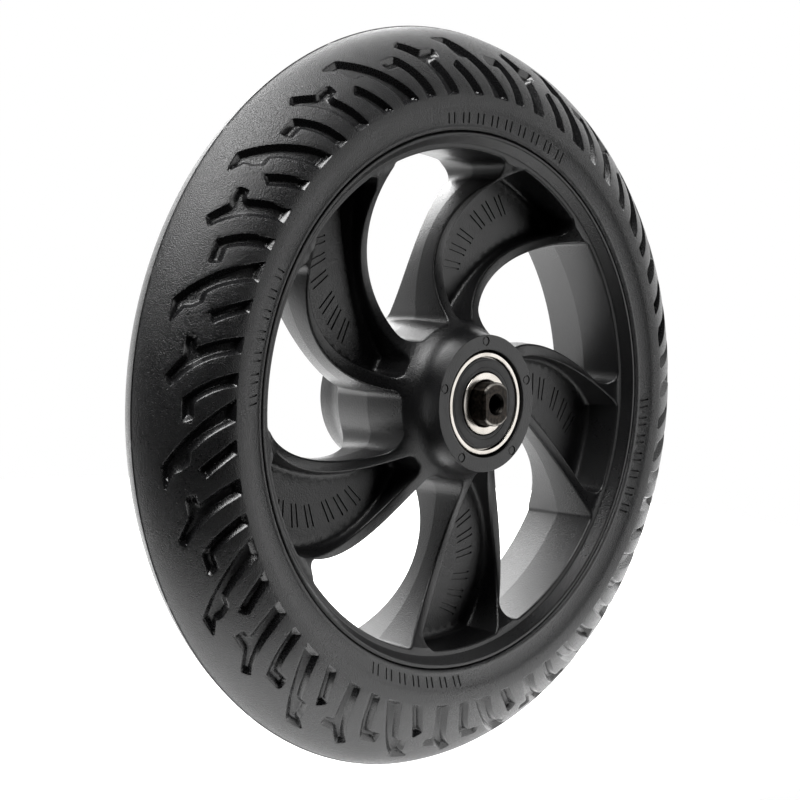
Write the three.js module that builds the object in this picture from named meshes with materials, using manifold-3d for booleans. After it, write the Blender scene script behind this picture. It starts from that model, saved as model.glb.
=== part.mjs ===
// Scooter wheel, 200 mm: solid rubber tyre on a moulded five-spoke rim that turns on two
// sealed ball bearings around a fixed steel axle.
// Millimetres, +Z up. The wheel's centre is the origin and it spins about Y; its front faces -Y.

import * as THREE from 'three';
import { mergeVertices } from 'three/addons/utils/BufferGeometryUtils.js';
import Module from 'manifold-3d';

const wasm = await Module();
wasm.setup();

// ---- Driving dimensions -------------------------------------------------------------------

const gap = 0.3;                 // left between solids that touch on the real wheel
const outlineStep = 9;           // longest straight piece of a curved outline
const segments = { tyre: 72, rim: 60, shaft: 36, ring: 30, cage: 24, seat: 12, ball: 10 };

const tyre = {
  radius: 100,
  halfWidth: 16.8,               // at its widest circle
  widestRadius: 81,
  crownPower: 1.5,               // superellipse power: 2 would be an ellipse, less is more pointed
  crownSteps: 6,
  sidewallRadius: 77,            // below this circle the side leans in to the seam
  sidewallHalfWidth: 16.45,
  seamRadius: 72,                // where rubber meets rim on the side faces
  seamHalfWidth: 15,
};

const rim = {
  faceHalfWidth: 12.35,          // the flat ring around the windows
  windowRadius: 67.25,           // outer wall of windows and pockets
  faceOuterRadius: 69.3,
  lipInnerRadius: 70.6,
  wallDraft: 0.7,                // how much window and pocket walls lean over the rim's half width
  webHalfThickness: 1,           // the floor left between the front and rear pocket
  ribHalfWidth: 11.5,            // ring rib that locks the rubber to the rim
  ribHeight: 3,
};

const spoke = {
  count: 5,
  thinnestHalf: 4.4,             // half thickness in the middle of the dish
  dishMiddle: 44,                // the circle where the dish is thinnest
  dishRadius: 36,                // of the arc that the dish follows
  dishSteps: 6,
  dishStart: 23.5,
  dishEnd: 66.6,
};

const hub = {
  faceHalfWidth: 22.7,
  faceRadius: 18.2,
  faceChamfer: 0.5,
  flare: [[20.6, 13.6], [19.2, 16.4]],  // [radius, half width] where the boss spreads into the dish
  rootRadius: 21.3,              // the round core that the windows stop at
  boreChamfer: 0.6,
  shoulderRadius: 12.4,          // the rim's inner wall between the two bearings
};

const bearing = {                // a 6001: 12 x 28 x 8
  outerRadius: 14,
  boreRadius: 6.15,
  halfWidth: 4,
  faceAt: 22.2,                  // outer face, from the wheel's middle plane
  ballRadius: 2.381,
  pitchRadius: 10,
  balls: 8,
  innerLand: 8.25,               // radius of the inner ring beside its ball track
  outerLand: 11.8,               // radius of the outer ring beside its ball track
  sealSeat: 12.4,
  sealInnerFace: 3.05,           // both from the bearing's own middle plane
  sealOuterFace: 3.75,
  seatDepth: 0.2,                // how far the seal's seat runs in behind the seal
  track: { halfWidth: 1.75, midHalfWidth: 1.1, midDepth: 0.65, depth: 0.9 },
};

const cage = { halfDepth: 0.8, back: 2.95, front: -1.2, seatRadius: 2.52 };

const axle = {
  radius: 5.85,
  halfLength: 26.2,
  chamfer: 0.4,
  flatAt: 4.4,                   // the two flats of each end, from the axis
  flatStart: 22.3,               // just outside the bearing
  reliefAt: 4.3,                 // the flats go on inside the bearing, a touch deeper
  reliefStart: 19.6,
  holeRadius: 2.5,               // for an M6 thread
  holeDepth: 16,
};

// ---- Materials ----------------------------------------------------------------------------

const material = (color, roughness, metalness) => new THREE.MeshStandardMaterial({ color, roughness, metalness });

const rubber = material(0x1b1b1c, 0.62, 0);
const nylon = material(0x1e1e20, 0.5, 0);
const bearingSteel = material(0xc9c6c2, 0.22, 1);
const sealRubber = material(0x2c2c2f, 0.6, 0);
const axleSteel = material(0x4a4540, 0.45, 0.9);
const spacerSteel = material(0x8d8d90, 0.4, 0.9);
const cageNylon = material(0xd8cfb8, 0.55, 0);

// ---- Solids -------------------------------------------------------------------------------

/** A closed three.js geometry as a manifold solid. */
function toSolid(geometry) {
  geometry.deleteAttribute('normal');
  geometry.deleteAttribute('uv');
  const merged = mergeVertices(geometry);
  const corners = Array.from(merged.index.array);
  const triVerts = [];
  for (let i = 0; i < corners.length; i += 3) {
    const [a, b, c] = corners.slice(i, i + 3);
    if (a !== b && b !== c && c !== a) triVerts.push(a, b, c);
  }
  return new wasm.Manifold(new wasm.Mesh({
    numProp: 3,
    vertProperties: Float32Array.from(merged.attributes.position.array),
    triVerts: Uint32Array.from(triVerts),
  }));
}

/** A manifold solid as a three.js geometry. */
function toGeometry(solid) {
  const mesh = solid.getMesh();
  const geometry = new THREE.BufferGeometry();
  geometry.setAttribute('position', new THREE.BufferAttribute(Float32Array.from(mesh.vertProperties), 3));
  geometry.setIndex(Array.from(mesh.triVerts));
  geometry.computeVertexNormals();
  return geometry;
}

/** A ring turned about Y from a closed section of [radius, y] points, given anticlockwise. */
function turned(section, count) {
  const points = [...section, section[0]].map(([radius, y]) => new THREE.Vector2(radius, y));
  return new THREE.LatheGeometry(points, count);
}

/** The same section seen in a mirror at y = 0, still anticlockwise. */
function mirrored(section) {
  return section.map(([radius, y]) => [radius, -y]).reverse();
}

// ---- Outlines made of arcs ----------------------------------------------------------------

/** Side of an outline: a circle that the outline's inside lies within, or else outside of. */
const side = (x, z, radius, within) => ({ centre: new THREE.Vector2(x, z), radius, within });

const turnedSide = ({ centre, radius, within }, angle) => ({
  centre: centre.clone().rotateAround(new THREE.Vector2(), angle), radius, within,
});

/** Centre of the corner arc that touches two sides; of the two answers, the one nearest `near`. */
function cornerCentre(first, second, cornerRadius, near) {
  const reach = (s) => s.radius + (s.within ? -cornerRadius : cornerRadius);
  const across = second.centre.clone().sub(first.centre);
  const distance = across.length();
  const along = (distance ** 2 + reach(first) ** 2 - reach(second) ** 2) / (2 * distance);
  const off = Math.sqrt(reach(first) ** 2 - along ** 2);
  across.normalize();
  const foot = first.centre.clone().addScaledVector(across, along);
  const normal = new THREE.Vector2(-across.y, across.x);
  const options = [off, -off].map((h) => foot.clone().addScaledVector(normal, h));
  return options.sort((a, b) => a.distanceTo(near) - b.distanceTo(near))[0];
}

/** Points on an arc, both ends included, no further apart than the outline's step or 36 degrees. */
function arcPoints(centre, radius, from, to, anticlockwise) {
  const a = Math.atan2(from.y - centre.y, from.x - centre.x);
  let sweep = Math.atan2(to.y - centre.y, to.x - centre.x) - a;
  if (anticlockwise && sweep < 0) sweep += 2 * Math.PI;
  if (!anticlockwise && sweep > 0) sweep -= 2 * Math.PI;
  const widest = Math.min(outlineStep / radius, Math.PI / 5);
  const count = Math.ceil(Math.abs(sweep) / widest);
  return Array.from({ length: count + 1 }, (_, i) => {
    const angle = a + sweep * i / count;
    return new THREE.Vector2(centre.x + radius * Math.cos(angle), centre.y + radius * Math.sin(angle));
  });
}

/** Outline through its sides, anticlockwise, each corner rounded: corners[i] joins side i to the next. */
function roundedOutline(sides, corners) {
  const arcs = corners.map(({ radius, near }, i) => {
    const [first, second] = [sides[i], sides[(i + 1) % sides.length]];
    const centre = cornerCentre(first, second, radius, near);
    const touch = (s) => s.centre.clone().addScaledVector(centre.clone().sub(s.centre).normalize(), s.radius);
    return { centre, radius, start: touch(first), end: touch(second) };
  });
  return arcs.flatMap((corner, i) => {
    const next = arcs[(i + 1) % arcs.length];
    const run = sides[(i + 1) % sides.length];
    const round = arcPoints(corner.centre, corner.radius, corner.start, corner.end, true);
    const edge = arcPoints(run.centre, run.radius, corner.end, next.start, run.within);
    return [...round.slice(0, -1), ...edge.slice(0, -1)];
  });
}

// The four curved walls of a spoke, as seen from the front: x to the right, z up.
const leadingEdge = side(31.6, 26.9, 35.15, true);
const leadingPocketWall = side(37.9, 26.2, 37.7, true);
const trailingPocketWall = side(48.2, -6, 50, false);
const trailingEdge = side(51.5, -11.7, 53.4, true);
const rimWall = side(0, 0, rim.windowRadius, true);
const hubWall = side(0, 0, hub.rootRadius, false);
const spokePitch = 2 * Math.PI / spoke.count;
const at = (x, z) => new THREE.Vector2(x, z);

/** The window behind a spoke's trailing edge, up to the next spoke's leading edge. */
function windowOutline() {
  const nextEdge = { ...turnedSide(leadingEdge, -spokePitch), within: false };
  return roundedOutline([nextEdge, rimWall, trailingEdge, hubWall], [
    { radius: 3.4, near: at(64, 6) },
    { radius: 2, near: at(52, 39) },
    { radius: 5, near: at(17, 21) },
    { radius: 2.4, near: at(22, 13) },
  ]);
}

/** The pocket sunk into a spoke between its two walls. */
function pocketOutline() {
  const hubEnd = side(0, 0, hub.rootRadius + gap, false);
  return roundedOutline([trailingPocketWall, rimWall, leadingPocketWall, hubEnd], [
    { radius: 3, near: at(43.5, 47) },
    { radius: 1.5, near: at(27, 60) },
    { radius: 2.5, near: at(3, 24) },
    { radius: 2, near: at(6, 24) },
  ]);
}

/** Cutter for the front half: it narrows by the wall draft from the rim's face down to `floorAt`. */
function draftedCutter(outline, floorAt) {
  const height = rim.faceHalfWidth - floorAt;
  const narrowing = rim.wallDraft * height / rim.faceHalfWidth;
  const geometry = new THREE.ExtrudeGeometry(new THREE.Shape(outline), {
    depth: hub.faceHalfWidth,
    bevelThickness: height,
    bevelSize: narrowing,
    bevelOffset: -narrowing,
    bevelSegments: 1,
  });
  geometry.rotateX(Math.PI / 2);
  geometry.translate(0, -rim.faceHalfWidth, 0);
  return toSolid(geometry);
}

// ---- Rim ----------------------------------------------------------------------------------

/** Half thickness of the spokes at a radius: a shallow dish turned about the axis. */
function dishHalf(radius) {
  const { dishRadius, dishMiddle, thinnestHalf } = spoke;
  return thinnestHalf + dishRadius - Math.sqrt(dishRadius ** 2 - (radius - dishMiddle) ** 2);
}

/** Section of the uncut rim: hub, dished disc and tyre seat in one. */
function rimSection() {
  const bore = bearing.outerRadius + gap;
  const shoulder = bearing.faceAt - 2 * bearing.halfWidth - gap;
  const seat = tyre.seamRadius - gap;
  const dish = Array.from({ length: spoke.dishSteps + 1 }, (_, i) => {
    const radius = THREE.MathUtils.lerp(spoke.dishEnd, spoke.dishStart, i / spoke.dishSteps);
    return [radius, dishHalf(radius)];
  });
  const rear = [
    [seat + rim.ribHeight, rim.ribHalfWidth - rim.ribHeight],
    [seat, rim.ribHalfWidth],
    [seat, tyre.seamHalfWidth],
    [rim.lipInnerRadius, tyre.seamHalfWidth],
    [rim.faceOuterRadius, rim.faceHalfWidth],
    ...dish,
    ...hub.flare,
    [hub.faceRadius, hub.faceHalfWidth - hub.faceChamfer],
    [hub.faceRadius - hub.faceChamfer, hub.faceHalfWidth],
    [bore + hub.boreChamfer, hub.faceHalfWidth],
    [bore, hub.faceHalfWidth - hub.boreChamfer],
    [bore, shoulder],
    [hub.shoulderRadius, shoulder],
  ];
  return [...mirrored(rear), ...rear];
}

function rimGeometry() {
  const openings = draftedCutter(windowOutline(), 0);
  const pocket = draftedCutter(pocketOutline(), rim.webHalfThickness);
  const bothFaces = [openings, pocket].flatMap((cutter) => [cutter, cutter.mirror([0, 1, 0])]);
  let solid = toSolid(turned(rimSection(), segments.rim));
  for (let i = 0; i < spoke.count; i += 1) {
    for (const cutter of bothFaces) {
      solid = solid.subtract(cutter.rotate([0, 360 * i / spoke.count, 0]));
    }
  }
  return toGeometry(solid);
}

// ---- Tyre ---------------------------------------------------------------------------------

/** Section of the solid tyre: a pointed crown, flat sides, and a groove over the rim's rib. */
function tyreSection() {
  const crown = Array.from({ length: tyre.crownSteps + 1 }, (_, i) => {
    const angle = (Math.PI / 2) * (1 - i / tyre.crownSteps);
    return [
      tyre.widestRadius + (tyre.radius - tyre.widestRadius) * Math.cos(angle) ** (2 / tyre.crownPower),
      -tyre.halfWidth * Math.sin(angle) ** (2 / tyre.crownPower),
    ];
  });
  const front = [
    [tyre.seamRadius + rim.ribHeight, -(rim.ribHalfWidth - rim.ribHeight + gap)],
    [tyre.seamRadius, -(rim.ribHalfWidth + gap)],
    [tyre.seamRadius, -tyre.seamHalfWidth],
    [tyre.sidewallRadius, -tyre.sidewallHalfWidth],
    ...crown.slice(0, -1),
  ];
  return [...front, [tyre.radius, 0], ...mirrored(front)];
}

// ---- Bearings, spacer and axle ------------------------------------------------------------

/** Outer ring's section about the bearing's own middle. */
function outerRingSection() {
  const { outerRadius, outerLand, sealSeat, sealInnerFace, seatDepth, halfWidth, track } = bearing;
  const half = [
    [sealSeat, halfWidth],
    [sealSeat, sealInnerFace - seatDepth],
    [outerLand, sealInnerFace - seatDepth],
    [outerLand, track.halfWidth],
    [outerLand + track.midDepth, track.midHalfWidth],
  ];
  return [
    [outerRadius, -halfWidth + gap],
    [outerRadius, halfWidth - gap],
    [outerRadius - gap, halfWidth],
    ...half,
    [outerLand + track.depth, 0],
    ...mirrored(half),
    [outerRadius - gap, -halfWidth],
  ];
}

/** Inner ring's section about the bearing's own middle. */
function innerRingSection() {
  const { boreRadius, innerLand, halfWidth, track } = bearing;
  const half = [
    [innerLand - track.midDepth, track.midHalfWidth],
    [innerLand, track.halfWidth],
    [innerLand, halfWidth],
    [boreRadius + gap, halfWidth],
    [boreRadius, halfWidth - gap],
  ];
  return [...mirrored(half), [innerLand - track.depth, 0], ...half];
}

/** A seal's section, on the bearing's positive side. */
function sealSection() {
  const inner = bearing.innerLand + gap;
  const outer = bearing.sealSeat - gap;
  const { sealInnerFace, sealOuterFace } = bearing;
  return [[inner, sealInnerFace], [outer, sealInnerFace], [outer, sealOuterFace], [inner, sealOuterFace]];
}

/** Crown cage: a ring behind the balls with a round seat open to the front for each of them. */
function cageGeometry() {
  const inner = bearing.pitchRadius - cage.halfDepth;
  const outer = bearing.pitchRadius + cage.halfDepth;
  const ring = [[inner, cage.front], [outer, cage.front], [outer, cage.back], [inner, cage.back]];
  const seatLength = 5 * cage.halfDepth;
  const ballSeat = new THREE.CylinderGeometry(cage.seatRadius, cage.seatRadius, seatLength, segments.seat);
  ballSeat.translate(0, bearing.pitchRadius, 0);
  ballSeat.rotateX(Math.PI / 2);
  const cutter = toSolid(ballSeat);
  let solid = toSolid(turned(ring, segments.cage));
  for (let i = 0; i < bearing.balls; i += 1) {
    solid = solid.subtract(cutter.rotate([0, 360 * i / bearing.balls, 0]));
  }
  return toGeometry(solid);
}

function spacerSection() {
  const halfLength = bearing.faceAt - 2 * bearing.halfWidth - gap;
  return [
    [bearing.boreRadius, -halfLength],
    [bearing.innerLand, -halfLength],
    [bearing.innerLand, halfLength],
    [bearing.boreRadius, halfLength],
  ];
}

/** Round shaft with two flats at each end and a tapped hole in each end face. */
function axleGeometry() {
  const half = [
    [0, axle.halfLength - axle.holeDepth],
    [axle.holeRadius, axle.halfLength - axle.holeDepth],
    [axle.holeRadius, axle.halfLength],
    [axle.radius - axle.chamfer, axle.halfLength],
    [axle.radius, axle.halfLength - axle.chamfer],
  ];
  const profile = [...half, ...mirrored(half)].reverse().map(([radius, y]) => new THREE.Vector2(radius, y));
  let solid = toSolid(new THREE.LatheGeometry(profile, segments.shaft));
  const flats = [
    { at: axle.flatAt, start: axle.flatStart, end: axle.halfLength + 1 },
    { at: axle.reliefAt, start: axle.reliefStart, end: axle.flatStart },
  ];
  const width = 2 * axle.radius;
  for (const { at: depth, start, end } of flats) {
    for (const [x, y] of [[-1, -1], [-1, 1], [1, -1], [1, 1]]) {
      const block = new THREE.BoxGeometry(width, end - start, 2 * width);
      block.translate(x * (depth + width / 2), y * (start + end) / 2, 0);
      solid = solid.subtract(toSolid(block));
    }
  }
  return toGeometry(solid);
}

// ---- Assembly -----------------------------------------------------------------------------

const group = new THREE.Group();

function addMesh(parent, name, geometry, look) {
  const mesh = new THREE.Mesh(geometry, look);
  mesh.name = name;
  parent.add(mesh);
}

/** One bearing; the rear one is the front one turned half round about the vertical. */
function addBearing(end, turn) {
  const place = new THREE.Group();
  place.position.y = turn ? bearing.faceAt - bearing.halfWidth : bearing.halfWidth - bearing.faceAt;
  place.rotation.z = turn;
  group.add(place);
  addMesh(place, `${end}_outer_ring`, turned(outerRingSection(), segments.ring), bearingSteel);
  addMesh(place, `${end}_inner_ring`, turned(innerRingSection(), segments.ring), bearingSteel);
  addMesh(place, `${end}_inner_seal`, turned(sealSection(), segments.ring), sealRubber);
  addMesh(place, `${end}_outer_seal`, turned(mirrored(sealSection()), segments.ring), sealRubber);
  addMesh(place, `${end}_cage`, cageGeometry(), cageNylon);
  for (let i = 0; i < bearing.balls; i += 1) {
    const angle = 2 * Math.PI * i / bearing.balls;
    const ball = new THREE.SphereGeometry(bearing.ballRadius, segments.ball, segments.ball / 2 + 1);
    ball.translate(bearing.pitchRadius * Math.sin(angle), 0, bearing.pitchRadius * Math.cos(angle));
    addMesh(place, `${end}_ball_${i + 1}`, ball, bearingSteel);
  }
}

addMesh(group, 'tyre', turned(tyreSection(), segments.tyre), rubber);
addMesh(group, 'rim', rimGeometry(), nylon);
addMesh(group, 'axle', axleGeometry(), axleSteel);
addMesh(group, 'bearing_spacer', turned(spacerSection(), segments.shaft), spacerSteel);
addBearing('front', 0);
addBearing('rear', Math.PI);

export default group;
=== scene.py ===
"""The looks of a scooter wheel: solid treaded tyre, five-spoke rim, sealed bearings and steel axle.

Lengths are in millimetres until a mesh is made, and angles run from +X towards +Z as seen from
the front (-Y). The wheel turns about Y, and its front half is mirrored to make the rear half.
"""

import cmath
import math
from collections import namedtuple

import bmesh
import bpy
import numpy as np
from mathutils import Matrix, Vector
from mathutils.geometry import delaunay_2d_cdt
from numpy.linalg import norm


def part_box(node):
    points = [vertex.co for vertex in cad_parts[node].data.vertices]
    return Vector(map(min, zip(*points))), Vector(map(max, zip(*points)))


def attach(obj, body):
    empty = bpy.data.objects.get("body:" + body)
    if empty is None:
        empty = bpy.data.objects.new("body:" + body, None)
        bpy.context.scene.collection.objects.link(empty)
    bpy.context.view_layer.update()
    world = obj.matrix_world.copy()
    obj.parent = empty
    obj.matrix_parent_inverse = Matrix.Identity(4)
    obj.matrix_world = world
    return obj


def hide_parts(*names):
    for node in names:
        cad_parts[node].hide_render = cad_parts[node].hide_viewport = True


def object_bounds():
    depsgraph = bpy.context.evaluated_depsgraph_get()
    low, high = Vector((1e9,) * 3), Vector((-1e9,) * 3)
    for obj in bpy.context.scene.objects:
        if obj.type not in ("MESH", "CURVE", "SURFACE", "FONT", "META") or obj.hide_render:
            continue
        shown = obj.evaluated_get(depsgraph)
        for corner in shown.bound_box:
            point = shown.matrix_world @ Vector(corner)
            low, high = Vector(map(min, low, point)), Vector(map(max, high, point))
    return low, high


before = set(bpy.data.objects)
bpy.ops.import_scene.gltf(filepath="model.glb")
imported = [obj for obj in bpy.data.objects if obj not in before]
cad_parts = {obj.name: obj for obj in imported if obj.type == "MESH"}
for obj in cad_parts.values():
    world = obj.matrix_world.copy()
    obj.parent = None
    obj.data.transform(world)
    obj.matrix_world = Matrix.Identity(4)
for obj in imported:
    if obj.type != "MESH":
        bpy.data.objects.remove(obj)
cad_low, cad_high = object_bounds()
scene = bpy.context.scene

MM = 0.001
TURN = 2 * math.pi


def cad(node):
    """Lowest and highest corner of a CAD node, in millimetres."""
    low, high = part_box(node)
    return low / MM, high / MM


# ---- Driving sizes, from the frame ----

tyre_radius = cad("tyre")[1].z
tyre_half = cad("tyre")[1].y
hub_half = cad("rim")[1].y
axle_radius = cad("axle")[1].z
axle_half = cad("axle")[1].y
ring_radius = cad("front_outer_ring")[1].z
inner_ring_radius = cad("front_inner_ring")[1].z
spacer_half = cad("bearing_spacer")[1].y
contact_gap = 0.3  # left between solids that touch on the real wheel
seal_inner = inner_ring_radius + contact_gap
seal_outer = cad("front_outer_seal")[1].z

# ---- Mesh helpers ----

almost_straight = math.radians(86)  # half of a corner's angle that isn't worth rounding
same_point = 0.002  # vertices nearer than this become one


def soften(profile, radii, steps=4):
    """A path with its corners rounded by one radius each, 0 for none; an open path's ends take 0."""
    points = np.array(profile, float)
    count = len(points)
    out = []
    for i, point in enumerate(points):
        before = points[i - 1] - point
        after = points[(i + 1) % count] - point
        reach = min(norm(before), norm(after)) * 0.49
        before /= norm(before)
        after /= norm(after)
        half = math.acos(max(-1.0, min(1.0, float(before @ after)))) / 2
        if radii[i] <= 0 or half > almost_straight:
            out.append(point)
            continue
        along = min(radii[i] / math.tan(half), reach)
        radius = along * math.tan(half)
        middle = before + after
        centre = point + middle / norm(middle) * radius / math.sin(half)
        start = point + before * along - centre
        end = point + after * along - centre
        for step in range(steps + 1):
            share = step / steps
            mix = start * (1 - share) + end * share
            out.append(centre + mix / norm(mix) * radius)
    return out


def stacked(rings, closed=False):
    """Vertices and quads between rings with the same number of points; closed joins last to first."""
    count = len(rings[0])
    faces = []
    for row in range(len(rings) if closed else len(rings) - 1):
        here = row * count
        there = (row + 1) % len(rings) * count
        for i in range(count):
            j = (i + 1) % count
            faces.append((here + i, here + j, there + j, there + i))
    return np.concatenate(rings), faces


def turned(profile, count, start=0.0, closed=True):
    """Vertices and quads of a profile of (radius, y) points turned about Y."""
    angles = start + np.arange(count) * TURN / count
    x, z = np.cos(angles), np.sin(angles)
    return stacked([np.stack([r * x, np.full(count, y), r * z], 1) for r, y in profile], closed)


def finished(name, work, look):
    """The object made of a bmesh, in the scene."""
    mesh = bpy.data.meshes.new(name)
    work.to_mesh(mesh)
    work.free()
    mesh.materials.append(look)
    piece = bpy.data.objects.new(name, mesh)
    scene.collection.objects.link(piece)
    return piece


def build(name, parts, body, look, stands_for, sharp=34.0, ridge=None):
    """Joins parts, each (vertices in mm, faces) and maybe how smooth each vertex is, from 0 for
    grained to 1, into one named object that rides on a body. Edges that turn more than sharp
    degrees stay sharp, and so do those that ridge picks."""
    work = bmesh.new()
    smoothness = work.verts.layers.float.new("smoothness")
    for vertices, faces, *smooth in parts:
        made = [work.verts.new(v * MM) for v in vertices]
        for vertex, value in zip(made, smooth[0] if smooth else ()):
            vertex[smoothness] = value
        for face in faces:
            work.faces.new([made[i] for i in face])
    bmesh.ops.remove_doubles(work, verts=work.verts, dist=same_point * MM)
    loose = [v for v in work.verts if not v.link_faces]
    bmesh.ops.delete(work, geom=loose, context="VERTS")
    bmesh.ops.recalc_face_normals(work, faces=work.faces)
    limit = math.radians(sharp)
    for face in work.faces:
        face.smooth = True
    for edge in work.edges:
        turn = edge.calc_face_angle(0.0) if len(edge.link_faces) == 2 else 0.0
        edge.smooth = turn < limit and not (ridge and ridge(edge))
    piece = finished(name, work, look)
    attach(piece, body)
    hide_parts(*stands_for)


def mirrored(part):
    """The same part on the other side of the wheel's middle plane."""
    vertices, faces, *smooth = part
    return (vertices * np.array([1, -1, 1]), [tuple(reversed(f)) for f in faces], *smooth)


def spun(part, count):
    """Copies of a part, evenly round the wheel."""
    vertices, faces, *smooth = part
    copies = []
    for i in range(count):
        angle = TURN * i / count
        c, s = math.cos(angle), math.sin(angle)
        turn = np.array([[c, 0, -s], [0, 1, 0], [s, 0, c]])
        copies.append((vertices @ turn.T, faces, *smooth))
    return copies


# ---- Plane outlines ----

arc_angle = 0.12  # radians between points of an arc
arc_length = 1.6  # and the furthest apart that they may get
bulge_step = 0.1  # between the points that a bulged outline is first drawn with

Loop = namedtuple("Loop", "points normals")  # closed outline with its outward normals
Side = namedtuple("Side", "centre radius within")  # a circle that the outline lies within, or outside


def circle(count):
    """Evenly spaced points of a circle of radius 1."""
    angles = np.arange(count) * TURN / count
    return np.stack([np.cos(angles), np.sin(angles)], 1)


def offset(loop, distance):
    """The loop moved outward by a distance, which may differ from point to point."""
    return loop.points + loop.normals * np.reshape(distance, (-1, 1))


def inside(points, polygon):
    """Which of the points lie in the polygon."""
    x, y = points[:, :1], points[:, 1:]
    x0, y0 = polygon.T
    x1, y1 = np.roll(polygon, -1, 0).T
    rise = np.where(y1 == y0, 1e-12, y1 - y0)
    crosses = ((y0 > y) != (y1 > y)) & (x < x0 + (y - y0) / rise * (x1 - x0))
    return crosses.sum(1) % 2 == 1


def distance_to(points, polygon):
    """Distance from each point to the nearest edge of the polygon."""
    along = np.roll(polygon, -1, 0) - polygon
    length = (along ** 2).sum(1) + 1e-12
    away = points[:, None] - polygon
    share = np.clip((away * along).sum(2) / length, 0, 1)
    return norm(away - share[..., None] * along, axis=2).min(1)


def clear_of(points, polygons, gap):
    """Which of the points lie outside all the polygons and further than the gap from them."""
    clear = np.ones(len(points), bool)
    for polygon in polygons:
        clear &= ~inside(points, polygon) & (distance_to(points, polygon) > gap)
    return clear


def arc_loop(centre, radius, start, end, anticlockwise, outward):
    """Points of an arc without its end, with normals; all points are complex numbers."""
    sweep = cmath.phase((end - centre) / (start - centre)) % TURN
    if not anticlockwise:
        sweep -= TURN
    count = max(1, math.ceil(abs(sweep) / min(arc_angle, arc_length / radius)))
    spokes = [(start - centre) * cmath.exp(1j * sweep * i / count) for i in range(count)]
    return [(centre + s, outward * s / radius) for s in spokes]


def corner_centre(first, second, radius, near):
    """Centre of the corner arc that touches two sides, the one of the two answers nearest near."""
    reach = [s.radius + (-radius if s.within else radius) for s in (first, second)]
    across = second.centre - first.centre
    distance = abs(across)
    along = (distance ** 2 + reach[0] ** 2 - reach[1] ** 2) / (2 * distance)
    off = math.sqrt(reach[0] ** 2 - along ** 2)
    options = [first.centre + across / distance * complex(along, h) for h in (off, -off)]
    return min(options, key=lambda c: abs(c - near))


def rounded_outline(sides, corners):
    """Loop through its sides, anticlockwise; corner i, (radius, near), joins side i to the next."""
    arcs = []
    for i, (radius, near) in enumerate(corners):
        pair = (sides[i], sides[(i + 1) % len(sides)])
        centre = corner_centre(*pair, radius, near)
        touch = [s.centre + (centre - s.centre) / abs(centre - s.centre) * s.radius for s in pair]
        arcs.append((centre, radius, *touch))
    found = []
    for i, (centre, radius, start, end) in enumerate(arcs):
        run = sides[(i + 1) % len(sides)]
        next_start = arcs[(i + 1) % len(arcs)][2]
        found += arc_loop(centre, radius, start, end, True, 1)
        outward = 1 if run.within else -1
        found += arc_loop(run.centre, run.radius, end, next_start, run.within, outward)
    return Loop(*(np.array([[c.real, c.imag] for c in column]) for column in zip(*found)))


def bulged_outline(nodes, step, rounding):
    """Loop through (x, y, bulge) nodes with its corners worn round. bulge is the rise of the arc to
    the next node, to the left of the way there, as a share of its chord."""
    dense = []
    for (x0, y0, bulge), (x1, y1, _) in zip(nodes, nodes[1:] + nodes[:1]):
        chord = complex(x1 - x0, y1 - y0)
        count = max(2, math.ceil(abs(chord) / bulge_step))
        for i in range(count):
            share = i / count
            rise = 4 * bulge * share * (1 - share)
            at = complex(x0, y0) + chord * complex(share, rise)
            dense.append((at.real, at.imag))
    dense = np.array(dense)
    reach = max(1, round(rounding / bulge_step))
    window = np.arange(-reach, reach + 1)
    dense = np.mean([np.roll(dense, k, 0) for k in window], 0)
    gaps = norm(np.roll(dense, -1, 0) - dense, axis=1)
    travel = np.concatenate([[0], np.cumsum(gaps)])
    closed = np.vstack([dense, dense[:1]])
    count = round(travel[-1] / step)
    places = np.arange(count) * travel[-1] / count
    points = np.stack([np.interp(places, travel, closed[:, k]) for k in (0, 1)], 1)
    following = np.roll(points, -1, 0)
    tangent = following - np.roll(points, 1, 0)
    normals = np.stack([tangent[:, 1], -tangent[:, 0]], 1)
    normals /= norm(normals, axis=1)[:, None]
    area = (points[:, 0] * following[:, 1] - following[:, 0] * points[:, 1]).sum()
    return Loop(points, normals if area > 0 else -normals)


def bar_corners(half_width, half_length, slope):
    """Corners of a slanted bar, as (across, along)."""
    corners = ((-1, -1), (1, -1), (1, 1), (-1, 1))
    return [(x * half_width + slope * y * half_length, y * half_length) for x, y in corners]


def grid_inside(polygon, spacing):
    """Points of a square grid that lie in the polygon."""
    low, high = polygon.min(0), polygon.max(0)
    columns = np.arange(low[0], high[0], spacing)
    rows = np.arange(low[1], high[1], spacing)
    grid = np.stack(np.meshgrid(columns, rows), -1).reshape(-1, 2)
    return grid[inside(grid, polygon)]


class Relief:
    """A surface over a plane: lines that stay edges and loose points, each with a height, joined by
    triangles."""

    def __init__(self):
        self.points = []
        self.heights = []
        self.edges = []

    def line(self, points, heights, closed=True):
        first = len(self.points)
        count = len(points)
        self.scatter(points, heights)
        last = count if closed else count - 1
        self.edges += [(first + i, first + (i + 1) % count) for i in range(last)]

    def scatter(self, points, heights):
        self.points += [Vector(p) for p in points]
        self.heights += list(np.broadcast_to(heights, len(points)).astype(float))

    def triangles(self, keep=None):
        """Points, heights and triangles; keep may say which triangles stay, by their centres."""
        out, _, faces, came_from, _, _ = delaunay_2d_cdt(self.points, self.edges, [], 0, 1e-5)
        points = np.array([tuple(p) for p in out])
        known = np.array([tuple(p) for p in self.points])
        heights = np.zeros(len(points))
        for i, sources in enumerate(came_from):
            if not sources:  # a point made where two lines cross takes its nearest one's height
                sources = [norm(known - points[i], axis=1).argmin()]
            heights[i] = self.heights[sources[0]]
        faces = np.array([f for f in faces if len(f) == 3])
        if keep:
            faces = faces[keep(points[faces].mean(1))]
        return points, heights, [tuple(f) for f in faces]


# ---- Tyre ----

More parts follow.
